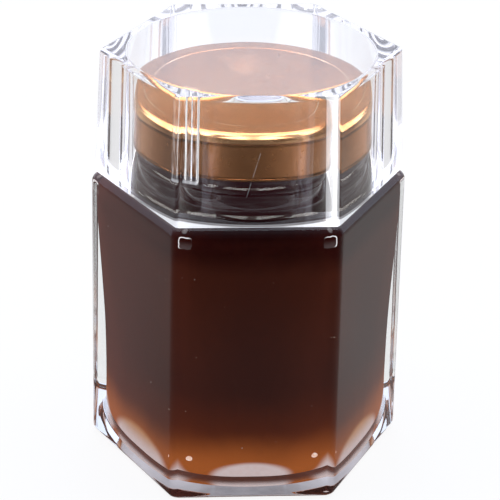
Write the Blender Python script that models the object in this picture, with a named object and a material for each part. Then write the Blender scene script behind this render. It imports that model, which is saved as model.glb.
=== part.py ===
# A six-sided honey jar: a thick clear glass jar full of dark honey, closed by a gold metal
# screw lid, under a clear plastic cover that stands on the jar's shoulder.
# Metres, +Z up. The origin is the middle of the base, where the jar stands.
import math

import bmesh
import bpy

MM = 0.001

# glass jar, outside
JAR_CORNER_BASE = 41.2 * MM      # centre to the sharp hexagon corner, at the base
JAR_CORNER_TOP = 40.4 * MM       # the same at the shoulder
JAR_EDGE_RADIUS = 2.6 * MM       # rounding of the six upright edges
SHOULDER_Z = 76.4 * MM           # flat shoulder that the cover stands on
SHOULDER_ROUND = 2.4 * MM
HEEL_ROUND = 2.0 * MM
PUSH_UP_RADIUS = 33.0 * MM       # round recess under the base, with a steep rim
PUSH_UP_DEPTH = 2.5 * MM
PUSH_UP_EASE = 1.4 * MM          # how far in the rim reaches its full depth

# glass jar, neck
NECK_RADIUS = 28.2 * MM
NECK_FILLET = 2.2 * MM
NECK_BEAD_Z = 83.6 * MM
NECK_BEAD_OUT = 0.7 * MM
NECK_BEAD_HALF = 1.3 * MM
LIP_Z = 97.9 * MM
LIP_ROUND = 1.0 * MM
MOUTH_RADIUS = 25.4 * MM

# inside of the glass
WALL_TABLE = [                   # height, glass thickness, rounding of the hollow's upright edges
    (6.8 * MM, 6.1 * MM, 25 * MM), (17 * MM, 6.05 * MM, 24 * MM), (31 * MM, 5.6 * MM, 21 * MM),
    (42 * MM, 4.7 * MM, 17 * MM), (52 * MM, 3.7 * MM, 13.5 * MM), (62 * MM, 2.7 * MM, 11 * MM),
    (67.5 * MM, 2.3 * MM, 10 * MM)]
FLOOR_Z = 3.6 * MM
CAVITY_HEEL = 3.2 * MM
CAVITY_TOP_Z = 73.6 * MM         # underside of the glass shoulder
CAVITY_SHOULDER = 4.7 * MM       # rounding below it
SHOULDER_TURN = 80               # degrees of that rounding, before the hollow runs in to the neck
NECK_BLEND = 0.55                # where the ring between the shoulder and the neck lies
NECK_BLEND_RISE = 0.2 * MM
NECK_FOOT_Z = 76.6 * MM          # the hollow is as narrow as the mouth from here up
NECK_EASE_OUT = 0.8 * MM
NECK_EASE_DROP = 1.2 * MM

# honey
FIT_GAP = 0.3 * MM               # gap left between neighbouring pieces
HONEY_TOP_Z = 92.0 * MM

# lid
LID_RADIUS = 30.6 * MM
LID_BOTTOM_Z = 87.3 * MM
LID_TOP_Z = 99.3 * MM
LID_WALL = 0.6 * MM
LID_EDGE = 1.5 * MM              # rounding between the top and the skirt
LID_INNER_EDGE = 0.6 * MM
LID_STEP = 0.4 * MM              # the skirt stands this far in below the rounding
LID_STEP_DROP = 0.75 * MM
LID_CURL = 0.4 * MM              # the skirt's rolled lower edge
LID_CURL_TOP = 1.0 * MM
LID_PANEL_RADIUS = 24.8 * MM     # round panel, a little below the rest of the top
LID_PANEL_STEP = 0.14 * MM
LID_PANEL_EASE = 0.6 * MM

# clear cover
COVER_Z = SHOULDER_Z + FIT_GAP
COVER_TOP_Z = 109.85 * MM
COVER_CORNER_BOTTOM = 39.4 * MM
COVER_CORNER_TOP = 37.6 * MM
COVER_EDGE_RADIUS = 1.0 * MM
COVER_TOP_ROUND = 1.1 * MM
COVER_FOOT_ROUND = 0.4 * MM
COVER_PLATE = 1.5 * MM           # thickness of the closed top
COVER_BORE_TOP = 31.3 * MM       # round hollow, slightly tapered for moulding
COVER_BORE_BOTTOM = 31.9 * MM
COVER_BORE_FILLET = 0.5 * MM
TAB_TURN = math.radians(240)     # moulded rib on the hollow's wall, at one corner
TAB_HALF = math.radians(3.3)
TAB_BORE = 30.9 * MM             # the hollow's radius over the rib
TAB_LOW_Z = 86.0 * MM
TAB_FOOT = 0.5 * MM
BORE_TANGENT = math.radians(4.4)   # spreads the ring's corner points over the rib

SIDES = 6
SECTOR = 2 * math.pi / SIDES
CORNER_STEPS = 4                 # facets round an upright edge
SIDE_STEPS = 8                   # facets along a side
ROUND_STEPS = 4                  # facets round a profile's corner
SMOOTH_ANGLE = math.radians(32)


def hexagon_ring(corner, edge_radius, z):
    """Points of a hexagon with rounded corners, at height z."""
    centre = corner - edge_radius / math.cos(SECTOR / 2)
    tangent = math.atan2(edge_radius * math.sin(SECTOR / 2), centre + edge_radius * math.cos(SECTOR / 2))
    flat = corner * math.cos(SECTOR / 2)
    points = []
    for side in range(SIDES):
        for angle in sector_angles(tangent):
            if abs(angle) <= tangent + 1e-9:
                across = centre * math.sin(angle)
                radius = centre * math.cos(angle) + math.sqrt(edge_radius ** 2 - across ** 2)
            else:
                radius = flat / math.cos(SECTOR / 2 - angle)
            turn = side * SECTOR + angle
            points.append((radius * math.cos(turn), radius * math.sin(turn), z))
    return points


def round_ring(radius, z, tangent=math.radians(3)):
    """Points of a circle, spread like the hexagon's so that both can be joined."""
    return [(radius * math.cos(side * SECTOR + angle), radius * math.sin(side * SECTOR + angle), z)
            for side in range(SIDES) for angle in sector_angles(tangent)]


def sector_angles(tangent):
    """Angles from one rounded corner up to just before the next."""
    corner = [tangent * (2 * step / CORNER_STEPS - 1) for step in range(CORNER_STEPS + 1)]
    span = SECTOR - 2 * tangent
    side = [tangent + span * step / SIDE_STEPS for step in range(1, SIDE_STEPS)]
    return corner + side


def blend(ring_a, ring_b, share, z):
    """A ring part of the way from one outline to another."""
    return [(a[0] + (b[0] - a[0]) * share, a[1] + (b[1] - a[1]) * share, z) for a, b in zip(ring_a, ring_b)]


def arc(centre_r, centre_z, radius, start, end, steps=ROUND_STEPS):
    """Profile points (r, z) along an arc, angles in degrees from +r."""
    turns = [math.radians(start + (end - start) * step / steps) for step in range(steps + 1)]
    return [(centre_r + radius * math.cos(turn), centre_z + radius * math.sin(turn)) for turn in turns]


def loft(name, rings, material):
    """A closed body skinned over its rings, the first and the last filled flat."""
    mesh = bmesh.new()
    loops = [[mesh.verts.new(point) for point in ring] for ring in rings]
    for low, high in zip(loops, loops[1:]):
        for index in range(len(low)):
            following = (index + 1) % len(low)
            mesh.faces.new((low[index], low[following], high[following], high[index]))
    for ends in (loops[0], loops[-1]):
        mesh.faces.new(ends)
    bmesh.ops.recalc_face_normals(mesh, faces=mesh.faces)
    data = bpy.data.meshes.new(name)
    mesh.to_mesh(data)
    mesh.free()
    data.materials.append(material)
    data.shade_smooth()
    data.set_sharp_from_angle(angle=SMOOTH_ANGLE)
    piece = bpy.data.objects.new(name, data)
    bpy.context.collection.objects.link(piece)
    return piece


def make_material(name, colour, roughness, metallic=0.0, transmission=0.0, refraction=1.5):
    material = bpy.data.materials.new(name)
    material.use_nodes = True
    shader = material.node_tree.nodes["Principled BSDF"]
    shader.inputs["Base Color"].default_value = (*colour, 1)
    shader.inputs["Roughness"].default_value = roughness
    shader.inputs["Metallic"].default_value = metallic
    shader.inputs["Transmission Weight"].default_value = transmission
    shader.inputs["IOR"].default_value = refraction
    return material


def jar_corner(z):
    """Sharp corner distance of the jar's drafted outside at height z."""
    return JAR_CORNER_BASE + (JAR_CORNER_TOP - JAR_CORNER_BASE) * z / SHOULDER_Z


def shrink(corner, inward):
    """Corner distance of a hexagon whose sides stand further in."""
    return corner - inward / math.cos(SECTOR / 2)


def wall_at(z):
    """Glass thickness and rounding of the hollow at height z, read from the table."""
    z = min(max(z, WALL_TABLE[0][0]), WALL_TABLE[-1][0])
    for low, high in zip(WALL_TABLE, WALL_TABLE[1:]):
        if z <= high[0]:
            share = (z - low[0]) / (high[0] - low[0])
            return [low[part] + (high[part] - low[part]) * share for part in (1, 2)]


def cavity_ring(inset, inward, z):
    wall, edge = wall_at(z)
    return hexagon_ring(shrink(jar_corner(z), wall + inset + inward), edge - inset - inward, z)


def cavity_rings(inset):
    """The hollow in the glass from its floor up to the mouth, or the honey's own skin
    when it stands inset from the glass."""
    heel = CAVITY_HEEL - inset
    floor_z = FLOOR_Z + inset
    top_z = CAVITY_TOP_Z - inset
    rings = [cavity_ring(inset, heel - out, z) for out, z in arc(0, floor_z + heel, heel, -90, 0)]
    rings += [cavity_ring(inset, 0, row[0]) for row in WALL_TABLE[1:-1]]
    shoulder = CAVITY_SHOULDER - inset
    for out, z in arc(0, top_z - shoulder, shoulder, 0, SHOULDER_TURN):
        rings.append(cavity_ring(inset, shoulder - out, z))
    mouth = MOUTH_RADIUS - inset
    rings.append(blend(rings[-1], round_ring(mouth, 0), NECK_BLEND, top_z + NECK_BLEND_RISE))
    rings.append(round_ring(mouth + NECK_EASE_OUT, NECK_FOOT_Z - NECK_EASE_DROP))
    rings.append(round_ring(mouth, NECK_FOOT_Z))
    return rings


def make_jar(material):
    outside = [round_ring(PUSH_UP_RADIUS - PUSH_UP_EASE, PUSH_UP_DEPTH), round_ring(PUSH_UP_RADIUS, 0)]
    for out, z in arc(0, HEEL_ROUND, HEEL_ROUND, -90, 0):
        outside.append(hexagon_ring(shrink(jar_corner(z), HEEL_ROUND - out), JAR_EDGE_RADIUS, z))
    for out, z in arc(0, SHOULDER_Z - SHOULDER_ROUND, SHOULDER_ROUND, 0, 90):
        outside.append(hexagon_ring(shrink(jar_corner(z), SHOULDER_ROUND - out), JAR_EDGE_RADIUS, z))
    fillet = arc(NECK_RADIUS + NECK_FILLET, SHOULDER_Z + NECK_FILLET, NECK_FILLET, -90, -180)
    bead = [(NECK_RADIUS + NECK_BEAD_OUT * math.cos(math.pi / 2 * share), NECK_BEAD_Z + NECK_BEAD_HALF * share)
            for share in (-1, -0.5, 0, 0.5, 1)]
    lip = arc(NECK_RADIUS - LIP_ROUND, LIP_Z - LIP_ROUND, LIP_ROUND, 0, 90)
    lip += arc(MOUTH_RADIUS + LIP_ROUND, LIP_Z - LIP_ROUND, LIP_ROUND, 90, 180)
    outside += [round_ring(radius, z) for radius, z in fillet + bead + lip]
    return loft("glass_jar", outside + cavity_rings(0)[::-1], material)


def make_honey(material):
    rings = cavity_rings(FIT_GAP)
    rings.append(round_ring(MOUTH_RADIUS - FIT_GAP, HONEY_TOP_Z))
    return loft("honey", rings, material)


def make_lid(material):
    skirt = LID_RADIUS - LID_STEP
    bend = LID_TOP_Z - LID_EDGE
    shoulder = LID_RADIUS - LID_EDGE
    panel_z = LID_TOP_Z - LID_PANEL_STEP
    outside = [(skirt, LID_BOTTOM_Z), (skirt + LID_CURL, LID_BOTTOM_Z + LID_CURL),
               (skirt, LID_BOTTOM_Z + LID_CURL_TOP), (skirt, bend - LID_STEP_DROP)]
    outside += arc(shoulder, bend, LID_EDGE, 0, 90, ROUND_STEPS + 1)
    outside += [(LID_PANEL_RADIUS, LID_TOP_Z), (LID_PANEL_RADIUS - LID_PANEL_EASE, panel_z)]
    ceiling = panel_z - LID_WALL
    inside = [(skirt - LID_WALL, LID_BOTTOM_Z), (skirt - LID_WALL, ceiling - LID_INNER_EDGE),
              (skirt - LID_WALL - LID_INNER_EDGE, ceiling)]
    profile = inside[::-1] + outside
    return loft("gold_lid", [round_ring(radius, z) for radius, z in profile], material)


def cover_corner(z):
    """Sharp corner distance of the cover's drafted outside at height z."""
    share = (z - COVER_Z) / (COVER_TOP_Z - COVER_Z)
    return COVER_CORNER_BOTTOM + (COVER_CORNER_TOP - COVER_CORNER_BOTTOM) * share


def bore_ring(radius, z, ribbed):
    """A ring of the cover's hollow, with the rib standing out of it when asked."""
    points = []
    for x, y, height in round_ring(radius, z, BORE_TANGENT):
        turn = math.atan2(y, x) % (2 * math.pi)
        share = TAB_BORE / radius if ribbed and abs(turn - TAB_TURN) < TAB_HALF else 1
        points.append((x * share, y * share, height))
    return points


def make_cover(material):
    ceiling = COVER_TOP_Z - COVER_PLATE
    slope = (COVER_BORE_BOTTOM - COVER_BORE_TOP) / (ceiling - COVER_BORE_FILLET - COVER_Z)
    hollow = arc(COVER_BORE_TOP - COVER_BORE_FILLET, ceiling - COVER_BORE_FILLET, COVER_BORE_FILLET, 90, 0)
    rings = [bore_ring(radius, z, False) for radius, z in hollow]
    for z, ribbed in ((hollow[-1][1] - TAB_FOOT, True), (TAB_LOW_Z + TAB_FOOT, True), (TAB_LOW_Z, False),
                      (COVER_Z, False)):
        rings.append(bore_ring(COVER_BORE_TOP + slope * (hollow[-1][1] - z), z, ribbed))
    for out, z in arc(0, COVER_Z + COVER_FOOT_ROUND, COVER_FOOT_ROUND, -90, 0, 2):
        rings.append(hexagon_ring(shrink(cover_corner(z), COVER_FOOT_ROUND - out), COVER_EDGE_RADIUS, z))
    for out, z in arc(0, COVER_TOP_Z - COVER_TOP_ROUND, COVER_TOP_ROUND, 0, 90):
        rings.append(hexagon_ring(shrink(cover_corner(z), COVER_TOP_ROUND - out), COVER_EDGE_RADIUS, z))
    return loft("clear_cover", rings, material)


def main():
    for item in list(bpy.data.objects):
        bpy.data.objects.remove(item)
    make_jar(make_material("glass", (0.95, 0.97, 0.98), 0.02, transmission=1.0))
    make_honey(make_material("honey", (0.12, 0.035, 0.012), 0.08))
    make_lid(make_material("gold_metal", (0.62, 0.38, 0.2), 0.28, metallic=1.0))
    make_cover(make_material("clear_plastic", (0.95, 0.95, 1.0), 0.02, transmission=1.0, refraction=1.52))


main()
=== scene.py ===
import math

import bmesh
import bpy
from mathutils import Matrix, Vector


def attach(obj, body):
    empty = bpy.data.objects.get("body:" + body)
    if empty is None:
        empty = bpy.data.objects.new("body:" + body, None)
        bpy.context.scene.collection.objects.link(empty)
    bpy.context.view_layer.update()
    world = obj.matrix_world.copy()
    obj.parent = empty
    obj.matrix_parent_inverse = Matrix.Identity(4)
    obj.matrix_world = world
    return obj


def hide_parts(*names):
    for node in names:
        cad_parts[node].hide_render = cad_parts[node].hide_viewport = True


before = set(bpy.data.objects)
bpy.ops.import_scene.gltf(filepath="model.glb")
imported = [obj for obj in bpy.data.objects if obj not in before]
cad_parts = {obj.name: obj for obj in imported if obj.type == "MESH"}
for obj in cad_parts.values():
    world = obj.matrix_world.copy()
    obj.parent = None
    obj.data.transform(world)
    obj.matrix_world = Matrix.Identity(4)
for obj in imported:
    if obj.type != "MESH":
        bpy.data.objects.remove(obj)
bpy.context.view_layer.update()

mm = 0.001
sector = math.pi / 3                      # one of the jar's six sides
black = (0, 0, 0, 1)
tiny = 1e-9                               # how far a comparison may be off
scene = bpy.context.scene
print("frame loaded:", ", ".join(sorted(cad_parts)))


# the camera, fitted to the photograph
cameraValues = {
    "azimuth": -3.93, "elevation": 26.602, "roll": 1.217,      # degrees
    "distance": 511.05, "targetHeight": 54.19,                 # mm
    "focalPixels": 1963.7, "middleX": 247.595, "middleY": 248.254, "imageSide": 500,
    "sensor": 36, "nearest": 0.02,                             # mm and m
}


def makeCamera(v):
    azimuth, elevation, roll = (math.radians(v[key]) for key in ("azimuth", "elevation", "roll"))
    back = Vector((math.sin(azimuth) * math.cos(elevation), -math.cos(azimuth) * math.cos(elevation),
                   math.sin(elevation)))
    level = (-back).cross(Vector((0, 0, 1))).normalized()
    upright = level.cross(-back)
    right = math.cos(roll) * level + math.sin(roll) * upright
    up = -math.sin(roll) * level + math.cos(roll) * upright
    place = Matrix((right, up, back)).transposed().to_4x4()
    place.translation = Vector((0, 0, v["targetHeight"] * mm)) + back * v["distance"] * mm
    lens = bpy.data.cameras.new("photoCamera")
    lens.sensor_width = v["sensor"]
    lens.lens = v["focalPixels"] * lens.sensor_width / v["imageSide"]
    lens.shift_x = 0.5 - v["middleX"] / v["imageSide"]
    lens.shift_y = v["middleY"] / v["imageSide"] - 0.5
    lens.clip_start = v["nearest"]
    eye = bpy.data.objects.new("photoCamera", lens)
    eye.matrix_world = place
    scene.collection.objects.link(eye)
    scene.camera = eye


makeCamera(cameraValues)


class Wire:
    # a node socket that can stand in a sum, in a material or in a geometry tree
    def __init__(self, tree, socket=None):
        self.tree, self.socket = tree, socket

    def node(self, kind, settings=None, inputs=None, output=0):
        made = self.tree.nodes.new(kind)
        for name, value in (settings or {}).items():
            setattr(made, name, value)
        for key, value in (inputs or {}).items():
            if isinstance(value, Wire):
                self.tree.links.new(value.socket, made.inputs[key])
            else:
                made.inputs[key].default_value = value
        return Wire(self.tree, made.outputs[output])

    def maths(self, operation, *values):
        return self.node("ShaderNodeMath", {"operation": operation}, dict(enumerate(values)))

    def mix(self, share, first, second):
        return self.node("ShaderNodeMix", {"data_type": "RGBA"}, {0: share, 6: first, 7: second}, 2)

    def band(self, low, high):
        # 0 below low, 1 above high, smooth between
        return self.node("ShaderNodeMapRange", {"interpolation_type": "SMOOTHSTEP"},
                         {0: self, 1: low, 2: high, 3: 0.0, 4: 1.0})

    def feed(self, shader, name):
        self.tree.links.new(self.socket, shader.inputs[name])

    def __add__(self, other):
        return self.maths("ADD", self, other)

    def __radd__(self, other):
        return self.maths("ADD", other, self)

    def __sub__(self, other):
        return self.maths("SUBTRACT", self, other)

    def __rsub__(self, other):
        return self.maths("SUBTRACT", other, self)

    def __mul__(self, other):
        return self.maths("MULTIPLY", self, other)

    def __rmul__(self, other):
        return self.maths("MULTIPLY", other, self)


def startMaterial(name, fixed):
    # an empty material, its shader with the values that are the same all over, and a wire
    material = bpy.data.materials.new(name)
    material.use_nodes = True
    shader = material.node_tree.nodes["Principled BSDF"]
    for key, value in fixed.items():
        shader.inputs[key].default_value = value
    return material, shader, Wire(material.node_tree)


def objectPlace(wire, scale=(1, 1, 1), turn=(0, 0, 0)):
    # the point on the piece in millimetres, stretched as asked
    place = wire.node("ShaderNodeTexCoord", output=3)
    return wire.node("ShaderNodeMapping", inputs={0: place, 2: turn, 3: tuple(side / mm for side in scale)})


def heightOf(place, axis=2):
    # height, or with axis 0 the distance to the right and with axis 1 the one away from the camera
    return place.node("ShaderNodeSeparateXYZ", inputs={0: place}, output=axis)


def noise(place, scale, detail=2.0):
    return place.node("ShaderNodeTexNoise", inputs={"Vector": place, "Scale": scale, "Detail": detail})


def bump(height, strength, distance):
    return height.node("ShaderNodeBump", inputs={"Strength": strength, "Distance": distance * mm,
                                                 "Height": height})


def fromAxis(place):
    # distance from the jar's axis
    flat = place.node("ShaderNodeVectorMath", {"operation": "MULTIPLY"}, {0: place, 1: (1, 1, 0)})
    return flat.node("ShaderNodeVectorMath", {"operation": "LENGTH"}, {0: flat}, 1)


def around(place):
    # angle round the jar's axis
    return place.maths("ARCTAN2", heightOf(place, 1), heightOf(place, 0))


def foldedTurn(place, shift=0):
    # angle from the middle of the nearest side, or with half a sector's shift from the nearest corner
    return place.maths("FLOORED_MODULO", around(place) + shift, sector) - sector / 2


# how finely the meshes are cut, with angles in degrees and the merge distance in metres
meshValues = {
    "cornerSteps": 10, "sideSteps": 30, "arcSteps": 8, "sharpAngle": 38, "flatWeight": 100,
    "roundTangent": 5, "mergeDistance": 1e-6,
}


def sectorAngles(tangent):
    # angles over one sixth of a ring, closer together round the corner
    corner, side = meshValues["cornerSteps"], meshValues["sideSteps"]
    turns = [tangent * (2 * step / corner - 1) for step in range(corner + 1)]
    span = sector - 2 * tangent
    return turns + [tangent + span * step / side for step in range(1, side)]


def hexRing(corner, edge, z):
    # a hexagon with rounded corners, at height z
    centre = corner - edge / math.cos(sector / 2)
    tangent = math.atan2(edge * math.sin(sector / 2), centre + edge * math.cos(sector / 2))
    flat = corner * math.cos(sector / 2)
    points = []
    for side in range(6):
        for angle in sectorAngles(tangent):
            if abs(angle) <= tangent + tiny:
                across = centre * math.sin(angle)
                radius = centre * math.cos(angle) + math.sqrt(max(edge * edge - across * across, 0))
            else:
                radius = flat / math.cos(sector / 2 - angle)
            turn = side * sector + angle
            points.append(Vector((radius * math.cos(turn), radius * math.sin(turn), z)))
    return points


def roundRing(radius, z):
    # a circle whose points match a hexRing's, so that the two can be joined
    tangent = math.radians(meshValues["roundTangent"])
    return [Vector((radius * math.cos(side * sector + angle), radius * math.sin(side * sector + angle), z))
            for side in range(6) for angle in sectorAngles(tangent)]


def arc(centreR, centreZ, radius, start, end, steps=None):
    # profile points (r, z), angles in degrees from outwards
    steps = steps or meshValues["arcSteps"]
    turns = [math.radians(start + (end - start) * step / steps) for step in range(steps + 1)]
    return [(centreR + radius * math.cos(turn), centreZ + radius * math.sin(turn)) for turn in turns]


def shrink(corner, inward):
    # corner distance of a hexagon whose sides stand further in
    return corner - inward / math.cos(sector / 2)


def skin(name, rings, material):
    # a closed body over its rings, in metres, with level faces at both ends
    mesh = bmesh.new()
    loops = [[mesh.verts.new(point * mm) for point in ring] for ring in rings]
    for low, high in zip(loops, loops[1:]):
        for index in range(len(low)):
            after = (index + 1) % len(low)
            mesh.faces.new((low[index], low[after], high[after], high[index]))
    for ends in (loops[0], loops[-1]):
        mesh.faces.new(ends)
    bmesh.ops.recalc_face_normals(mesh, faces=mesh.faces)
    data = bpy.data.meshes.new(name)
    mesh.to_mesh(data)
    mesh.free()
    data.materials.append(material)
    piece = bpy.data.objects.new(name, data)
    scene.collection.objects.link(piece)
    return smooth(piece)


def smooth(piece):
    # smooth shading that keeps the large flat faces flat, set for good in the mesh
    piece.data.shade_smooth()
    piece.data.set_sharp_from_angle(angle=math.radians(meshValues["sharpAngle"]))
    weigh = piece.modifiers.new("flatFaces", "WEIGHTED_NORMAL")
    weigh.keep_sharp, weigh.weight, weigh.mode = True, meshValues["flatWeight"], "FACE_AREA"
    return settle(piece)


def settle(piece):
    # the modifiers' result becomes the piece's own mesh
    graph = bpy.context.evaluated_depsgraph_get()
    made = bpy.data.meshes.new_from_object(piece.evaluated_get(graph))
    piece.modifiers.clear()
    old, piece.data = piece.data, made
    made.name = piece.name
    if not old.users:
        bpy.data.meshes.remove(old)
    return piece


def startTree(name, inputs):
    # a geometry tree with named inputs: the tree, a wire for each input and each input's identifier
    tree = bpy.data.node_groups.new(name, "GeometryNodeTree")
    tree.interface.new_socket("Geometry", in_out="OUTPUT", socket_type="NodeSocketGeometry")
    marks = {}
    for label, kind in inputs.items():
        socket = tree.interface.new_socket(label, in_out="INPUT", socket_type="NodeSocket" + kind)
        marks[label] = socket.identifier
    start = tree.nodes.new("NodeGroupInput")
    wires = {label: Wire(tree, start.outputs[label]) for label in inputs}
    return tree, wires, marks


def endTree(tree, shape, material):
    # the tree's result: real meshes with their material
    real = shape.node("GeometryNodeRealizeInstances", inputs={0: shape})
    done = real.node("GeometryNodeSetMaterial", inputs={"Geometry": real, "Material": material})
    end = tree.nodes.new("NodeGroupOutput")
    tree.links.new(done.socket, end.inputs[0])


def grow(piece, tree, marks, values):
    # runs the tree on the piece and keeps its result as a plain mesh
    grown = piece.modifiers.new(tree.name, "NODES")
    grown.node_group = tree
    for label, value in values.items():
        grown[marks[label]] = value
    return settle(piece)


# clear glass of the jar, in mm; a pair whose name ends in Band says where a change begins and ends,
# and one that ends in Turns gives an arc's first angle, last angle and steps
jarValues = {
    "cornerBase": 41.2, "cornerTop": 40.4, "edge": 2.6, "heel": 2.0, "shoulder": 76.4, "shoulderRound": 2.4,
    # radius and height of the rings under the base
    "recess": [(12.64, 2.85), (25.28, 2.65), (31.1, 2.5), (31.6, 2.3), (32.7, 0.12), (33.0, 0)],
    "neckRadius": 28.2, "neckFillet": 2.2, "beadHeight": 83.6, "beadOut": 0.7, "beadHalf": 1.3,
    "beadSteps": 4, "lip": 97.9, "lipRound": 1.0, "mouth": 25.4,
    "floor": 3.6, "cavityHeel": 3.2, "cavityTop": 73.6, "cavityStep": 3.0, "shoulderTurn": 80,
    # height, glass thickness and corner rounding of the hollow
    "walls": [(6.8, 6.1, 25), (17, 6.05, 24), (31, 5.6, 21), (42, 4.7, 17), (52, 3.7, 13.5), (62, 2.7, 11),
              (67.5, 2.3, 10)],
    # the hollow's way into the neck
    "neckFoot": 3.0, "neckEase": (0.4, 0.6), "neckShares": (0.3, 0.6, 0.85), "neckRound": 2.4,
    "neckTurns": (250, 180, 5),
    "waviness": 0.05, "waveSize": 0.045, "depthTint": (0.82, 0.92, 0.97, 1), "depthDensity": 5.0,
    "frost": 0.35, "frostHeightBand": (2.95, 3.1), "frostRimBand": (30.8, 31.4),
    # painted highlights on the glass, given as a glow
    "paintedShine": 0.9, "paintedShineTone": (1, 0.955, 0.975, 1),
}

# painted highlights round an air pocket below each shoulder corner, placed from the corner, and painted
# streaks of light in the neck
pocketValues = {
    "in": 2.4, "height": 73.1, "wide": 1.45, "tall": 1.6, "lean": 0.25, "power": 5,
    "wave": 0.5, "waveSize": 0.9,
    "innerBand": (0.45, 0.65), "outerBand": (0.9, 1.25), "footBand": (-0.95, -0.7),
    "topBand": (0.2, 0.6), "topEndBand": (0.3, 0.95), "besideBand": (0.3, 0.6),
    "fill": 0.05, "fillEdgeBand": (0.5, 0.8), "fillFadeBand": (-0.6, 0.9),
    "spot": 0.16, "spotAcross": -0.35, "spotRise": 1.7, "spotFlat": 2, "spotBand": (0.03, 0.2),
    "neckShine": 0.14, "neckFootBand": (77.6, 78.4), "neckTopBand": (86.5, 87.2), "neckBackBand": (-8, 0),
    "arcStretch": (0.12, 0.12, 1.6), "arcSize": 0.8, "arcBand": (0.5, 0.75),
    "neckSideBand": (8, 22), "neckLeast": 0.12,
}

# what the jar's glass and the cover's plastic share
clearValues = {
    "tint": (1.0, 1.0, 1.0, 1), "refraction": 1.5, "waveDepth": 1.0,
    "smear": 0.006, "smearSize": 0.09, "smearBand": (0.55, 0.8),
}


def jarCorner(z):
    v = jarValues
    return v["cornerBase"] + (v["cornerTop"] - v["cornerBase"]) * z / v["shoulder"]


def wallAt(z):
    # the hollow's wall and corner rounding at a height, eased between the table's rows
    rows = jarValues["walls"]
    z = min(max(z, rows[0][0]), rows[-1][0])
    for low, high in zip(rows, rows[1:]):
        if z <= high[0]:
            break
    index, share = rows.index(low), (z - low[0]) / (high[0] - low[0])
    before, after = rows[max(index - 1, 0)], rows[min(index + 2, len(rows) - 1)]
    span = high[0] - low[0]
    values = []
    for part in (1, 2):
        slopeLow = (high[part] - before[part]) / max(high[0] - before[0], 1) * span
        slopeHigh = (after[part] - low[part]) / max(after[0] - low[0], 1) * span
        cube, square = share ** 3, share ** 2
        values.append((2 * cube - 3 * square + 1) * low[part] + (cube - 2 * square + share) * slopeLow
                      + (3 * square - 2 * cube) * high[part] + (cube - square) * slopeHigh)
    return values


def cavityRings(reach):
    # the hollow in the glass, or what fills it when it reaches into the wall
    v = jarValues
    rings = []

    def addRing(z, inward):
        wall, edge = wallAt(z)
        rings.append(hexRing(shrink(jarCorner(z), wall - reach + inward), edge + reach - inward, z))

    heel = v["cavityHeel"] + reach
    for out, z in arc(0, v["floor"] - reach + heel, heel, -90, 0):
        addRing(z, heel - out)
    top = v["cavityTop"] + reach
    shoulder = v["shoulderRound"] + v["walls"][-1][1] + reach
    low, high = v["floor"] - reach + heel, top - shoulder
    steps = round((high - low) / v["cavityStep"])
    for step in range(1, steps):
        addRing(low + (high - low) * step / steps, 0)
    for out, z in arc(0, high, shoulder, 0, v["shoulderTurn"]):
        addRing(z, shoulder - out)
    mouth = v["mouth"] + reach
    easeOut, easeUp = v["neckEase"]
    last, ring = rings[-1], roundRing(mouth + easeOut, top + easeUp)
    for share in v["neckShares"]:
        rings.append([a.lerp(b, share) for a, b in zip(last, ring)])
    foot, turn = v["cavityTop"] + v["neckFoot"], v["neckRound"]
    for out, z in arc(mouth + turn, foot, turn, *v["neckTurns"]):
        rings.append(roundRing(out, z))
    return rings


def clearMaterial(name, v, frosted, paintedShine):
    shared = clearValues
    material, shader, wire = startMaterial(name, {
        "Base Color": shared["tint"], "Transmission Weight": 1.0, "IOR": shared["refraction"],
        "Emission Strength": v["paintedShine"]})
    place = objectPlace(wire)
    # the emission paints highlights onto the clear surface
    wire.mix(paintedShine(place), black, v["paintedShineTone"]).feed(shader, "Emission Color")
    smear = noise(place, shared["smearSize"], 3).band(*shared["smearBand"]) * shared["smear"]
    (smear + frosted(place) * v["frost"]).feed(shader, "Roughness")
    bump(noise(place, v["waveSize"], 1), v["waviness"], shared["waveDepth"]).feed(shader, "Normal")
    depth = wire.node("ShaderNodeVolumeAbsorption",
                      inputs={"Color": v["depthTint"], "Density": v["depthDensity"]})
    wire.tree.links.new(depth.socket, wire.tree.nodes["Material Output"].inputs["Volume"])
    return material


def recessMask(place):
    # the stippled underside, inside the ring that the jar stands on
    v = jarValues
    low = 1 - heightOf(place).band(*v["frostHeightBand"])
    return low * (1 - fromAxis(place).band(*v["frostRimBand"]))


def pocketShine(place):
    # painted highlights: the bright upper and outer rim of each air pocket, its faint fill and a spot above
    # it
    v = pocketValues
    inFront = place.maths("SIGN", heightOf(place, 0)) * -1
    wavy = (noise(place, v["waveSize"]) - 0.5) * v["wave"]
    beside = place.maths("SINE", foldedTurn(place, sector / 2)) * fromAxis(place) * inFront
    across = (beside - v["in"] + wavy) * (1 / v["wide"])
    rise = (heightOf(place) - v["height"] + across * v["lean"] + wavy) * (1 / v["tall"])
    edge = (place.maths("POWER", place.maths("ABSOLUTE", across), v["power"])
            + place.maths("POWER", place.maths("ABSOLUTE", rise), v["power"]))
    rim = edge.band(*v["innerBand"]) * (1 - edge.band(*v["outerBand"])) * rise.band(*v["footBand"])
    top = rise.band(*v["topBand"]) * (1 - across.band(*v["topEndBand"]))
    bright = place.maths("MAXIMUM", top, (0 - across).band(*v["besideBand"]))
    besideSpot, overSpot = across - v["spotAcross"], rise - v["spotRise"]
    spotEdge = besideSpot * besideSpot + overSpot * overSpot * v["spotFlat"]
    spot = (1 - spotEdge.band(*v["spotBand"])) * v["spot"]
    fill = (1 - edge.band(*v["fillEdgeBand"])) * (0 - rise).band(*v["fillFadeBand"]) * v["fill"]
    return rim * bright + fill + spot + neckShine(place)


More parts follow.
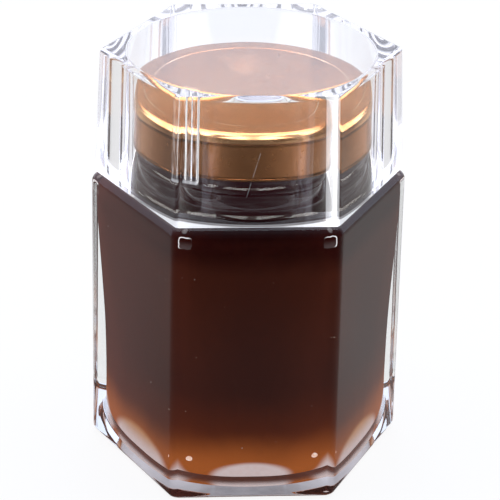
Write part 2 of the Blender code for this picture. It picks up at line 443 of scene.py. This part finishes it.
def neckShine(place):
    # painted highlights: level streaks in the front of the neck, stronger towards its sides
    v = pocketValues
    height = heightOf(place)
    neck = height.band(*v["neckFootBand"]) * (1 - height.band(*v["neckTopBand"]))
    neck = neck * (1 - heightOf(place, 1).band(*v["neckBackBand"]))
    arcs = noise(objectPlace(place, v["arcStretch"]), v["arcSize"]).band(*v["arcBand"])
    side = place.maths("ABSOLUTE", heightOf(place, 0)).band(*v["neckSideBand"])
    return neck * arcs * (side * (1 - v["neckLeast"]) + v["neckLeast"]) * v["neckShine"]


def makeJar(v):
    outside = [roundRing(radius, z) for radius, z in v["recess"]]
    for out, z in arc(0, v["heel"], v["heel"], -90, 0):
        outside.append(hexRing(shrink(jarCorner(z), v["heel"] - out), v["edge"], z))
    for out, z in arc(0, v["shoulder"] - v["shoulderRound"], v["shoulderRound"], 0, 90):
        outside.append(hexRing(shrink(jarCorner(z), v["shoulderRound"] - out), v["edge"], z))
    fillet = v["neckFillet"]
    profile = arc(v["neckRadius"] + fillet, v["shoulder"] + fillet, fillet, -90, -180)
    for step in range(2 * v["beadSteps"] + 1):
        share = step / v["beadSteps"] - 1
        profile.append((v["neckRadius"] + v["beadOut"] * math.cos(math.pi / 2 * share),
                        v["beadHeight"] + v["beadHalf"] * share))
    profile += arc(v["neckRadius"] - v["lipRound"], v["lip"] - v["lipRound"], v["lipRound"], 0, 90)
    profile += arc(v["mouth"] + v["lipRound"], v["lip"] - v["lipRound"], v["lipRound"], 90, 180)
    outside += [roundRing(radius, z) for radius, z in profile]
    glass = clearMaterial("jarGlass", v, recessMask, pocketShine)
    piece = skin("glassJar", outside + cavityRings(0)[::-1], glass)
    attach(piece, "root")
    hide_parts("glass_jar")


makeJar(jarValues)
print("glass jar made")


# honey, in mm; its weak glow stands for light that passes through thin layers, and its colour holds painted
# light and shade
honeyValues = {
    "reach": 0.06, "level": 92.0, "levelRound": (0.5, 0.6),
    # base colours with painted light and shade: warmer low down, lighter and redder towards the outside and
    # on the left, near black at the top
    "dark": (0.066, 0.0165, 0.0125, 1), "litFromBelow": (0.22, 0.040, 0.010, 1), "litFromBelowBand": (9.0, 32.0),
    "edge": (0.11, 0.024, 0.012, 1), "litEdgeBand": (28.0, 34.5),
    "top": (0.040, 0.004, 0.003, 1), "topBand": (62.0, 70.0),
    "left": (0.21, 0.052, 0.036, 1), "leftBand": (14, 32), "leftShare": 0.6,
    "cloud": 7.0, "cloudSize": 0.05, "mottle": 0.25, "mottleSize": 0.7, "mottleLeast": 0.1,
    "roughness": 0.25, "rough": 0.15, "roughSize": 0.2,
    "amber": (0.235, 0.068, 0.014, 1), "amberBand": (6.0, 19.0),       # light that comes up from below
    # a painted pale lens low on each side, where the floor shows through the base, beige on every side but
    # the front
    "lensGlow": (0.50, 0.45, 0.46, 1), "lensGlowBeige": (0.36, 0.20, 0.10, 1), "beigeBand": (0.1, 0.9),
    "lensHalf": 11.0, "lensHeight": 4.6, "lensFoot": 4.3, "lensBand": (0.55, 1.1),
    "lensLeast": 0.85, "lensMottle": 0.25, "lensMottleSize": 0.9,
    "flankBand": (0.86, 0.875), "flankWiden": 0.15, "flankRaise": 0.35,
    # painted glow: dimmer along the bottom, faint in the neck
    "rimGlow": (0.03, 0.008, 0.003, 1), "rimBand": (3.5, 4.0),
    "neckGlow": (0.009, 0.0, 0.002, 1), "neckBand": (72, 77),
}


def honeyMaterial(v):
    material, shader, wire = startMaterial("darkHoney", {
        "Specular IOR Level": 0.0, "IOR": 1.48, "Emission Strength": 1.0})
    place = objectPlace(wire)
    height, out = heightOf(place), fromAxis(place)
    cloudy = height + (noise(place, v["cloudSize"], 3) - 0.5) * v["cloud"]
    # painted light and shade in the base colour: lighter towards the outside, warmer low down, near black at
    # the top, lighter on the left
    colour = wire.mix(out.band(*v["litEdgeBand"]), v["dark"], v["edge"])
    colour = wire.mix(1 - cloudy.band(*v["litFromBelowBand"]), colour, v["litFromBelow"])
    colour = wire.mix(cloudy.band(*v["topBand"]), colour, v["top"])
    mottle = (noise(place, v["mottleSize"]) - 0.5) * v["mottle"] + v["mottleLeast"]
    colour = wire.mix(mottle, colour, v["edge"])
    colour = wire.mix((0 - heightOf(place, 0)).band(*v["leftBand"]) * v["leftShare"], colour, v["left"])
    colour.feed(shader, "Base Color")
    # painted highlight: a pale lens low on each side, beige on every side but the front
    forward = (0 - heightOf(place, 1)) * wire.maths("DIVIDE", 1, out)
    flank = 1 - forward.band(*v["flankBand"])               # every side but the front one
    along = place.maths("SINE", foldedTurn(place)) * out
    across = along * (1 / v["lensHalf"]) * (1 - flank * v["flankWiden"])
    rise = (height - v["lensFoot"]) * (1 / v["lensHeight"]) * (1 - flank * v["flankRaise"])
    lens = 1 - (across * across + rise * rise).band(*v["lensBand"])
    lensGlow = wire.mix(rise.band(*v["beigeBand"]) * flank, v["lensGlow"], v["lensGlowBeige"])
    # the emission is painted light: a faint glow in the neck, amber light from below, the pale lens and a
    # dimmer glow along the bottom
    glow = wire.mix(height.band(*v["neckBand"]), black, v["neckGlow"])
    glow = wire.mix(1 - cloudy.band(*v["amberBand"]), glow, v["amber"])
    spread = noise(place, v["lensMottleSize"], 3) * v["lensMottle"] + v["lensLeast"]
    glow = wire.mix(lens * spread, glow, lensGlow)
    wire.mix(height.band(*v["rimBand"]), v["rimGlow"], glow).feed(shader, "Emission Color")
    (noise(place, v["roughSize"]) * v["rough"] + v["roughness"]).feed(shader, "Roughness")
    return material


def makeHoney(v):
    rings = cavityRings(v["reach"])
    mouth, (inward, down) = jarValues["mouth"], v["levelRound"]
    rings.append(roundRing(mouth + v["reach"], v["level"] - down))
    rings.append(roundRing(mouth - inward, v["level"]))
    piece = skin("honeyFill", rings, honeyMaterial(v))
    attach(piece, "root")
    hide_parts("honey")
    return piece


# small air bubbles against the glass with a faint painted glint, and two larger glowing specks by the front
# corners of the floor that are painted glints
bubbleValues = {
    "density": 3600.0, "low": 9.0, "high": 68.0, "small": 0.05, "large": 0.17, "seed": 7, "cuts": 2,
    "tone": (0.30, 0.17, 0.12, 1), "shine": (0.34, 0.27, 0.24, 1), "roughness": 0.1, "strength": 0.5,
    "patchSize": 0.8, "patchBand": (0.3, 0.6),
    # place and radii of each larger one, in mm
    "larger": [((-15.8, -25.8, 8.9), (1.0, 0.6, 0.7)), ((16.2, -25.5, 9.2), (1.0, 0.6, 0.7))],
    "largerCuts": 3, "largerStrength": 2.2,
}


def bubbleTree(cuts):
    tree, wires, marks = startTree("bubbles", {
        "Honey": "Geometry", "Density": "Float", "Low": "Float", "High": "Float", "Small": "Float",
        "Large": "Float", "Seed": "Int", "Look": "Material"})
    wire = Wire(tree)
    height = heightOf(wire.node("GeometryNodeInputPosition"))
    above = wire.node("FunctionNodeCompare", {"operation": "GREATER_THAN"}, {0: height, 1: wires["Low"]})
    below = wire.node("FunctionNodeCompare", {"operation": "LESS_THAN"}, {0: height, 1: wires["High"]})
    between = wire.node("FunctionNodeBooleanMath", {"operation": "AND"}, {0: above, 1: below})
    points = wire.node("GeometryNodeDistributePointsOnFaces", inputs={
        "Mesh": wires["Honey"], "Selection": between, "Density": wires["Density"], "Seed": wires["Seed"]})
    ball = wire.node("GeometryNodeMeshIcoSphere", inputs={"Radius": 1.0, "Subdivisions": cuts})
    size = wire.node("FunctionNodeRandomValue", {"data_type": "FLOAT"}, {
        2: wires["Small"], 3: wires["Large"], "Seed": wires["Seed"]}, 1)
    balls = wire.node("GeometryNodeInstanceOnPoints",
                      inputs={"Points": points, "Instance": ball, "Scale": size})
    endTree(tree, balls, wires["Look"])
    return tree, marks


def bubbleMaterial(name, v, strength):
    # the emission paints a glint onto each bubble or speck
    material, shader, wire = startMaterial(name, {"Roughness": v["roughness"], "Emission Strength": strength})
    place = objectPlace(wire)
    patch = noise(place, v["patchSize"])
    wire.mix(patch, v["tone"], v["shine"]).feed(shader, "Base Color")
    wire.mix(patch.band(*v["patchBand"]), v["tone"], v["shine"]).feed(shader, "Emission Color")
    return material


def makeBubbles(v, honey):
    piece = bpy.data.objects.new("honeyBubbles", honey.data.copy())
    scene.collection.objects.link(piece)
    tree, marks = bubbleTree(v["cuts"])
    grow(piece, tree, marks, {
        "Density": v["density"], "Low": v["low"] * mm, "High": v["high"] * mm, "Small": v["small"] * mm,
        "Large": v["large"] * mm, "Seed": v["seed"],
        "Look": bubbleMaterial("bubbleGlint", v, v["strength"])})
    piece.data.shade_smooth()
    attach(piece, "root")
    mesh = bmesh.new()
    for middle, radii in v["larger"]:
        place = Matrix.Translation(Vector(middle) * mm) @ Matrix.Diagonal((*radii, 1)) @ Matrix.Scale(mm, 4)
        bmesh.ops.create_icosphere(mesh, subdivisions=v["largerCuts"], radius=1.0, matrix=place)
    data = bpy.data.meshes.new("cornerGlints")
    mesh.to_mesh(data)
    mesh.free()
    data.materials.append(bubbleMaterial("paintedGlint", v, v["largerStrength"]))
    data.shade_smooth()
    larger = bpy.data.objects.new("cornerGlints", data)
    scene.collection.objects.link(larger)
    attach(larger, "root")


honeyPiece = makeHoney(honeyValues)
makeBubbles(bubbleValues, honeyPiece)
print("honey made")


# gold lid, in mm
lidValues = {
    "radius": 30.6, "bottom": 87.3, "top": 99.3, "wall": 0.6, "edge": 2.0, "edgeTurns": (88, 0, 14),
    "panelRadius": 24.8, "panelStep": 0.14, "panelEase": (0.7, 0.8), "panelTurns": (165, 80, 5),
    # the step's points, each out from the skirt and down from the bend
    "step": 0.4, "stepPoints": [(0.37, 0.25), (0.08, 0.5), (0, 0.8)],
    "curl": 0.42, "curlRise": 3, "curlIn": 0.2, "curlTurns": (60, -90, 6), "steps": 240,
    "gold": (0.50, 0.215, 0.088, 1), "pale": (0.56, 0.27, 0.125, 1), "cloudSize": 0.06,
    "paleBand": (0.35, 0.75),
    "dull": (0.36, 0.15, 0.06, 1), "dullShare": 0.08, "rubStretch": (0.3, 6, 1), "rubTurn": (0, 0, 0.6),
    # painted highlight: a paler ring along the edge of the top panel
    "rubSize": 1.0, "rubBand": (0.66, 0.72),
    "panelEdgeShine": (0.80, 0.62, 0.50, 1), "panelEdgeShineShare": 0.8, "ringInBand": (24.35, 24.6),
    "ringOutBand": (24.8, 25.0), "ringCloudBand": (0.35, 0.6),
    # painted highlight: a brighter band on the bead
    "beadHighlight": (0.95, 0.60, 0.33, 1), "beadHighlightShare": 0.75, "beadHighlightLowBand": (97.0, 97.5),
    "beadHighlightHighBand": (98.95, 99.2), "beadHighlightOutBand": (29.0, 29.4), "beadHighlightCloudBand": (0.3, 0.6),
    # painted shade: dark gold in the groove under the bead and along the foot
    "creaseShade": (0.14, 0.055, 0.02, 1), "creaseShadeShare": 0.6, "creaseLowBand": (95.9, 96.4),
    "creaseHighBand": (96.7, 97.1), "footBand": (88.0, 88.5),
    "roughness": 0.23, "rough": 0.06, "roughSize": 0.3, "rubRough": 0.02,
    "coat": 0.05, "coatMore": 0.15, "coatSize": 0.1, "coatRoughness": 0.06, "coatRefraction": 1.5,
    "grain": 0.06, "grainSize": 1.2, "grainStretch": (1, 1, 14), "grainDepth": 0.02,
}


def lidProfile(v):
    skirt, bend, panelTop = v["radius"] - v["step"], v["top"] - v["edge"], v["top"] - v["panelStep"]
    inner, outer = v["panelEase"]
    points = [(v["panelRadius"] - inner, panelTop)]
    points += arc(v["panelRadius"], panelTop, v["panelStep"], *v["panelTurns"])
    points += [(v["panelRadius"] + outer, v["top"])]
    points += arc(v["radius"] - v["edge"], bend, v["edge"], *v["edgeTurns"])
    points += [(skirt + out, bend - down) for out, down in v["stepPoints"]]
    points += [(skirt, v["bottom"] + v["curlRise"] * v["curl"])]
    points += arc(skirt - v["curl"] * v["curlIn"], v["bottom"] + v["curl"], v["curl"], *v["curlTurns"])
    ceiling = v["top"] - v["wall"] - v["panelStep"]
    points += [(skirt - v["wall"], v["bottom"] + v["curl"]), (skirt - v["wall"], ceiling - v["wall"]),
               (skirt - 2 * v["wall"], ceiling)]
    return points


def lidMaterial(v):
    material, shader, wire = startMaterial("goldMetal", {
        "Metallic": 1.0, "Coat Roughness": v["coatRoughness"], "Coat IOR": v["coatRefraction"]})
    place = objectPlace(wire)
    height, out = heightOf(place), fromAxis(place)
    cloud = noise(place, v["cloudSize"], 3)
    colour = wire.mix(cloud.band(*v["paleBand"]), v["gold"], v["pale"])
    rub = noise(objectPlace(wire, v["rubStretch"], v["rubTurn"]), v["rubSize"]).band(*v["rubBand"])
    colour = wire.mix(rub * v["dullShare"], colour, v["dull"])
    # painted highlight along the edge of the top panel
    ring = out.band(*v["ringInBand"]) * (1 - out.band(*v["ringOutBand"])) * cloud.band(*v["ringCloudBand"])
    colour = wire.mix(ring * v["panelEdgeShineShare"], colour, v["panelEdgeShine"])
    # painted highlight on the bead
    beadShine = height.band(*v["beadHighlightLowBand"]) * (1 - height.band(*v["beadHighlightHighBand"]))
    beadShine = beadShine * out.band(*v["beadHighlightOutBand"]) * cloud.band(*v["beadHighlightCloudBand"])
    colour = wire.mix(beadShine * v["beadHighlightShare"], colour, v["beadHighlight"])
    # painted shade in the groove under the bead and along the foot
    crease = height.band(*v["creaseLowBand"]) * (1 - height.band(*v["creaseHighBand"]))
    foot = 1 - height.band(*v["footBand"])
    colour = wire.mix(wire.maths("MAXIMUM", crease, foot) * v["creaseShadeShare"], colour, v["creaseShade"])
    colour.feed(shader, "Base Color")
    rough = noise(place, v["roughSize"], 3) * v["rough"] + rub * v["rubRough"] + v["roughness"]
    rough.feed(shader, "Roughness")
    (noise(place, v["coatSize"]) * v["coatMore"] + v["coat"]).feed(shader, "Coat Weight")
    grain = noise(objectPlace(wire, v["grainStretch"]), v["grainSize"], 3)
    bump(grain, v["grain"], v["grainDepth"]).feed(shader, "Normal")
    return material


def latheTree():
    # turns a profile, given as points whose x is a share of the radius and z a share of the height
    tree, wires, marks = startTree("lathe", {
        "Profile": "Geometry", "Points": "Int", "Steps": "Int", "Radius": "Float", "Bottom": "Float",
        "Height": "Float", "Metal": "Material"})
    wire = Wire(tree)
    columns = wires["Steps"] + 1
    grid = wire.node("GeometryNodeMeshGrid", inputs={"Vertices X": wires["Points"], "Vertices Y": columns})
    index = wire.node("GeometryNodeInputIndex")
    row = wire.maths("FLOOR", wire.maths("DIVIDE", index, columns))
    turn = wire.maths("DIVIDE", index - row * columns, wires["Steps"]) * (2 * math.pi)
    here = wire.node("GeometryNodeInputPosition")
    point = wire.node("GeometryNodeSampleIndex", {"data_type": "FLOAT_VECTOR"},
                      {"Geometry": wires["Profile"], "Value": here, "Index": row})
    out = heightOf(point, 0) * wires["Radius"]
    place = wire.node("ShaderNodeCombineXYZ", inputs={
        0: out * wire.maths("COSINE", turn), 1: out * wire.maths("SINE", turn),
        2: wires["Bottom"] + heightOf(point) * wires["Height"]})
    turned = wire.node("GeometryNodeSetPosition", inputs={"Geometry": grid, "Position": place})
    closed = wire.node("GeometryNodeMergeByDistance",
                       inputs={"Geometry": turned, "Distance": meshValues["mergeDistance"]})
    endTree(tree, closed, wires["Metal"])
    return tree, marks


def makeLid(v):
    height = v["top"] - v["bottom"]
    profile = lidProfile(v)
    profile = [(0, profile[0][1])] + profile + [(0, profile[-1][1])]
    points = [(radius / v["radius"], 0, (z - v["bottom"]) / height) for radius, z in profile]
    data = bpy.data.meshes.new("goldLid")
    data.from_pydata(points, [], [])
    piece = bpy.data.objects.new("goldLid", data)
    scene.collection.objects.link(piece)
    tree, marks = latheTree()
    grow(piece, tree, marks, {"Points": len(points), "Steps": v["steps"], "Radius": v["radius"] * mm,
                              "Bottom": v["bottom"] * mm, "Height": height * mm, "Metal": lidMaterial(v)})
    mesh = bmesh.new()
    mesh.from_mesh(piece.data)
    bmesh.ops.recalc_face_normals(mesh, faces=mesh.faces)
    mesh.to_mesh(piece.data)
    mesh.free()
    smooth(piece)
    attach(piece, "root")
    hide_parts("gold_lid")


makeLid(lidValues)
print("lid made")


# clear cover, in mm, with a moulded tab inside; sides are angles in degrees
coverValues = {
    "foot": 76.7, "top": 109.85, "cornerBottom": 39.4, "cornerTop": 37.7, "edge": 1.5, "topRound": 1.1,
    "footRound": 0.4, "footSteps": 4, "plate": 1.5, "boreTop": 31.3, "boreBottom": 31.9,
    "boreFillet": 0.7, "filletSteps": 6, "rows": 40, "sideSteps": 160,
    "waviness": 0.04, "waveSize": 0.06, "depthTint": (0.726, 0.712, 0.927, 1), "depthDensity": 7.0,
    # painted highlights on the plastic, given as a glow
    "frost": 0.4, "paintedShine": 0.8, "paintedShineTone": (0.93, 0.95, 1.0, 1),
    "footBand": (76.75, 77.0), "footSideBand": (33.4, 33.8), "footSideShare": 0.8,
    "footCornerBand": (32.8, 34.0), "footLeast": 0.2,
    "tabSide": 240.0, "tabShift": 0.5, "tabLow": 86.0, "tabProud": 0.5, "tabHalf": 2.2, "tabRound": 0.8,
    "tabPower": 4, "tabEase": 0.35, "tabLowEase": 0.5, "tabRidge": 0.85, "tabRidgeLeast": 0.35,
    "tabShine": 0.3, "tabTip": 0.45, "tabTipBand": (86.6, 87.2), "tabEdgeBand": (1.8, 2.2),
    "tabLowBand": (86.0, 86.4), "tabInBand": (30.1, 30.4), "tabOutBand": (31.9, 32.0),
    "tabLeftBand": (-3, -2),
    "streakStretch": (1, 1, 0.12), "streakSize": 2.2, "streakBand": (0.35, 0.75),
    "barSide": 300.0, "barShine": 0.5, "barBand": (-0.15, 0.1), "barEndBand": (2.8, 3.0),
    "barOutBand": (34.2, 34.6), "barRightBand": (0, 1), "barBackBand": (-1, 0),
    # x and z of the scratch's first end, then of its last
    "scratch": (0.4, 96.1, -2.9, 84.4), "scratchShine": 0.3, "scratchBand": (0.03, 0.09),
    "scratchFade": 0.5, "scratchFrontBand": (-33, -32.5), "scratchSize": 0.7, "scratchGapBand": (0.35, 0.6),
    "backShine": 0.17, "backOutBand": (34.0, 34.6), "backBand": (10, 14), "backTopBand": (105.85, 107.35),
}


def footMask(place):
    # the frosted foot, stronger towards its outer edge
    v = coverValues
    out = fromAxis(place)
    square = place.maths("COSINE", foldedTurn(place)) * out
    foot = 1 - heightOf(place).band(*v["footBand"])
    rim = place.maths("MAXIMUM", square.band(*v["footSideBand"]) * v["footSideShare"],
                      out.band(*v["footCornerBand"]))
    return foot * (v["footLeast"] + rim * (1 - v["footLeast"]))


def tabShine(place):
    # painted highlights: streaks on the moulded tab and its bright tip
    v = coverValues
    out, height = fromAxis(place), heightOf(place)
    turn = around(place) - math.radians(v["tabSide"] - 360)
    across = place.maths("ABSOLUTE", place.maths("SINE", turn) * out + v["tabShift"])
    tab = (1 - across.band(*v["tabEdgeBand"])) * (1 - out.band(*v["tabOutBand"])) * out.band(*v["tabInBand"])
    tab = tab * height.band(*v["tabLowBand"]) * (1 - heightOf(place, 0).band(*v["tabLeftBand"]))
    streak = noise(objectPlace(place, v["streakStretch"]), v["streakSize"], 3).band(*v["streakBand"])
    tip = 1 - height.band(*v["tabTipBand"])
    return tab * (streak * v["tabShine"] + tip * v["tabTip"])


def scratchShine(place):
    # a fine broken scratch down the front, painted as a thin line of light
    v = coverValues
    x0, z0, x1, z1 = v["scratch"]
    length = math.hypot(x1 - x0, z1 - z0)
    sideways, upward = heightOf(place, 0) - x0, heightOf(place) - z0
    down = sideways * ((x1 - x0) / length) + upward * ((z1 - z0) / length)
    off = place.maths("ABSOLUTE", sideways * ((z1 - z0) / length) - upward * ((x1 - x0) / length))
    ends = down.band(0, v["scratchFade"]) * (1 - down.band(length - v["scratchFade"], length))
    front = 1 - heightOf(place, 1).band(*v["scratchFrontBand"])
    broken = noise(place, v["scratchSize"]).band(*v["scratchGapBand"])
    return (1 - off.band(*v["scratchBand"])) * ends * front * broken * v["scratchShine"]


def coverShine(place):
    # painted light, standing for light caught by the foot, the tab, the column at the right front corner, a
    # scratch and the back
    v = coverValues
    out, away = fromAxis(place), heightOf(place, 1)
    beside = 0 - place.maths("SINE", around(place) - math.radians(v["barSide"] - 360)) * out
    bar = beside.band(*v["barBand"]) * (1 - beside.band(*v["barEndBand"])) * out.band(*v["barOutBand"])
    bar = bar * heightOf(place, 0).band(*v["barRightBand"]) * (1 - away.band(*v["barBackBand"]))
    back = out.band(*v["backOutBand"]) * away.band(*v["backBand"])
    back = back * (1 - heightOf(place).band(*v["backTopBand"])) * v["backShine"]
    return footMask(place) + tabShine(place) + bar * v["barShine"] + scratchShine(place) + back


def tabDepth(angle, z, v):
    # how far the moulded tab and its ridges stand out of the hollow's wall
    turn = (math.degrees(angle) - v["tabSide"] + 180) % 360 - 180
    across = math.radians(turn) * v["boreTop"] + v["tabShift"]
    half = v["tabHalf"]
    low = v["tabLow"] + v["tabRound"] * (abs(across) / half) ** v["tabPower"]
    if abs(across) > half or z < low:
        return 0
    edge = min(1, (half - abs(across)) / v["tabEase"]) * min(1, (z - low) / v["tabLowEase"])
    groove = 0.5 + 0.5 * math.cos(2 * math.pi * across / v["tabRidge"])
    return v["tabProud"] * edge * (v["tabRidgeLeast"] + (1 - v["tabRidgeLeast"]) * groove)


def makeCover(v):
    high = v["top"] - v["plate"] - v["boreFillet"]
    bore = v["boreTop"] - v["boreBottom"]
    hollow = arc(v["boreTop"] - v["boreFillet"], high, v["boreFillet"], 90, 0, v["filletSteps"])
    for step in range(1, v["rows"] + 1):
        z = high + (v["foot"] - high) * step / v["rows"]
        hollow.append((v["boreTop"] - bore * step / v["rows"], z))
    rings = []
    for radius, z in hollow:
        ring = roundRing(radius, z)
        for index, point in enumerate(ring):
            deep = tabDepth(math.atan2(point.y, point.x), min(z, high), v)
            ring[index] = Vector((point.x * (1 - deep / radius), point.y * (1 - deep / radius), z))
        rings.append(ring)

    def corner(z):
        share = (z - v["foot"]) / (v["top"] - v["foot"])
        return v["cornerBottom"] + (v["cornerTop"] - v["cornerBottom"]) * share

    for out, z in arc(0, v["foot"] + v["footRound"], v["footRound"], -90, 0, v["footSteps"]):
        rings.append(hexRing(shrink(corner(z), v["footRound"] - out), v["edge"], z))
    for out, z in arc(0, v["top"] - v["topRound"], v["topRound"], 0, 90):
        rings.append(hexRing(shrink(corner(z), v["topRound"] - out), v["edge"], z))
    piece = skin("clearCover", rings, clearMaterial("coverPlastic", v, footMask, coverShine))
    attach(piece, "root")
    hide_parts("clear_cover")


meshValues["sideSteps"] = coverValues["sideSteps"]            # finer, for the tab's ridges
makeCover(coverValues)
print("cover made")


# stage: a pale floor that glows a little, brighter behind the jar and with a painted shadow under it, and a
# soft sky; distances in metres
stageValues = {
    "floorSide": 6.0, "floorDrop": 0.0001, "floorTone": (0.86, 0.86, 0.87, 1), "floorRoughness": 0.9,
    "seenTone": (1.0, 1.0, 1.0, 1), "seenStrength": 1.08, "seenShare": 0.82, "throughStrength": 0.97,
    "nearBand": (0.045, 0.075), "glow": 0.60, "glowBack": 0.42, "glowRight": 0.10, "glowMost": 0.80,
    # a painted shadow on the floor under the jar, streaked and lighter to the sides
    "underShadow": 0.27, "underShadowTone": (1.0, 0.95, 1.06, 1), "underBand": (0.034, 0.037),
    "streakSize": 220.0, "streakLeast": 0.7, "streakMore": 0.6, "underSide": 0.3, "underSideBand": (0.2, 0.9),
    "behindShare": 0.85, "behindBand": (-0.6, 0.0), "lidShare": 1.15,
    "veilShare": 0.6, "veilFront": 0.25, "veilFrontBand": (-0.9, -0.2), "veilAwayBand": (0.10, 0.18),
    "skyTone": (0.90, 0.97, 1.16, 1), "skyFront": 0.25, "skyBack": 1.25, "skyBackBand": (-0.8, 0.8),
    "skyTop": 0.95, "skyTopBand": (0.45, 1.0), "lateShare": 0.5, "lateTone": (1.05, 0.97, 0.90, 1),
    "ringStrength": 11.0, "ringLowBand": (0.57, 0.60), "ringHighBand": (0.95, 0.98),
    "ringGap": 0.85, "gapMiddle": -0.05, "gapBand": (0.05, 0.22), "gapBackBand": (-0.2, 0.0),
    "directDim": 0.75, "directBand": (-0.2, 0.5),
    # limits between whole numbers of passes or bounces
    "lateDepth": 2.5, "anyDepth": 0.5, "onceRange": 0.1,
    "bounces": 48,
}


def lightPath(wire, what):
    # the kind of the ray, or how often it has been passed on
    return wire.node("ShaderNodeLightPath", output=what)


def reflectedOnce(wire, v):
    return wire.maths("COMPARE", lightPath(wire, "Glossy Depth"), 1, v["onceRange"])


def makeFloor(v):
    mesh = bmesh.new()
    bmesh.ops.create_grid(mesh, x_segments=1, y_segments=1, size=v["floorSide"] / 2)
    data = bpy.data.meshes.new("paleFloor")
    bmesh.ops.translate(mesh, vec=(0, 0, -v["floorDrop"]), verts=mesh.verts)
    mesh.to_mesh(data)
    mesh.free()
    floor = bpy.data.objects.new("paleFloor", data)
    scene.collection.objects.link(floor)
    material, shader, wire = startMaterial("paleFloor", {
        "Base Color": v["floorTone"], "Roughness": v["floorRoughness"], "Specular IOR Level": 0.0})
    data.materials.append(material)
    place = wire.node("ShaderNodeTexCoord", output=3)
    away = place.node("ShaderNodeVectorMath", {"operation": "LENGTH"}, {0: place}, 1)
    aim = place.node("ShaderNodeVectorMath", {"operation": "NORMALIZE"}, {0: place})
    right, back = heightOf(aim, 0), heightOf(aim, 1)
    glow = wire.maths("MINIMUM", back * v["glowBack"] + right * v["glowRight"] + v["glow"], v["glowMost"])
    passed = lightPath(wire, "Transmission Depth")
    early = wire.maths("LESS_THAN", passed, v["lateDepth"])
    once = reflectedOnce(wire, v)
    behind = back.band(*v["behindBand"]) * wire.maths("GREATER_THAN", passed, v["anyDepth"])
    near = wire.maths("MAXIMUM", 1 - away.band(*v["nearBand"]),
                      early * (1 - once + once * behind * v["behindShare"]))
    # painted shadow under the jar, streaked and lighter to the sides
    under = 1 - away.band(*v["underBand"])
    streak = v["streakLeast"] + noise(place, v["streakSize"], 3) * v["streakMore"]
    beside = wire.maths("ABSOLUTE", right).band(*v["underSideBand"])
    dim = v["underShadow"] * streak + beside * v["underSide"]
    front = (1 - back.band(*v["veilFrontBand"])) * away.band(*v["veilAwayBand"])
    share = (1 - front * (1 - v["veilFront"])) * v["veilShare"]
    glow = glow * (v["lidShare"] + (share - v["lidShare"]) * early)
    glow = glow + (v["throughStrength"] - glow) * near * lightPath(wire, "Is Transmission Ray")
    glow = glow + (dim - glow) * under
    tone = wire.mix(under, v["seenTone"], v["underShadowTone"])
    light = wire.node("ShaderNodeEmission", inputs={"Color": tone, "Strength": glow})
    white = wire.node("ShaderNodeEmission", inputs={"Color": v["seenTone"], "Strength": v["seenStrength"]})
    plain = Wire(wire.tree, shader.outputs[0])
    shown = wire.node("ShaderNodeMixShader", inputs={0: v["seenShare"], 1: plain, 2: white})
    seen = lightPath(wire, "Is Camera Ray")
    both = wire.node("ShaderNodeMixShader", inputs={0: seen, 1: light, 2: shown})
    wire.tree.links.new(both.socket, wire.tree.nodes["Material Output"].inputs["Surface"])


def makeSky(v):
    world = bpy.data.worlds.new("softSky")
    world.use_nodes = True
    scene.world = world
    sky = world.node_tree.nodes["Background"]
    wire = Wire(world.node_tree)
    aim = wire.node("ShaderNodeTexCoord", output=0)
    right, back, rise = (heightOf(aim, axis) for axis in range(3))
    side = v["skyFront"] + (v["skyBack"] - v["skyFront"]) * back.band(*v["skyBackBand"])
    strength = side + (v["skyTop"] - side) * rise.band(*v["skyTopBand"])
    ring = rise.band(*v["ringLowBand"]) * (1 - rise.band(*v["ringHighBand"]))
    gap = 1 - wire.maths("ABSOLUTE", right - v["gapMiddle"]).band(*v["gapBand"])
    gap = gap * (1 - back.band(*v["gapBackBand"]))
    ring = ring * (1 - gap * v["ringGap"])
    passed = lightPath(wire, "Transmission Depth")
    late = wire.maths("GREATER_THAN", passed, v["lateDepth"])
    once = reflectedOnce(wire, v)
    once = once * wire.maths("LESS_THAN", lightPath(wire, "Diffuse Depth"), v["anyDepth"])
    strength = (strength + ring * once * v["ringStrength"]) * late * v["lateShare"] + strength * (1 - late)
    direct = once * wire.maths("LESS_THAN", passed, v["anyDepth"])
    strength = strength * (1 - direct * (1 - back.band(*v["directBand"])) * v["directDim"])
    wire.mix(late, v["skyTone"], v["lateTone"]).feed(sky, "Color")
    (strength + (1 - strength) * lightPath(wire, "Is Camera Ray")).feed(sky, "Strength")


def makeStage(v):
    makeFloor(v)
    makeSky(v)
    scene.view_settings.view_transform = "Standard"
    scene.cycles.max_bounces = v["bounces"]
    scene.cycles.transmission_bounces = v["bounces"]
    scene.cycles.glossy_bounces = v["bounces"]


makeStage(stageValues)
print("stage made")
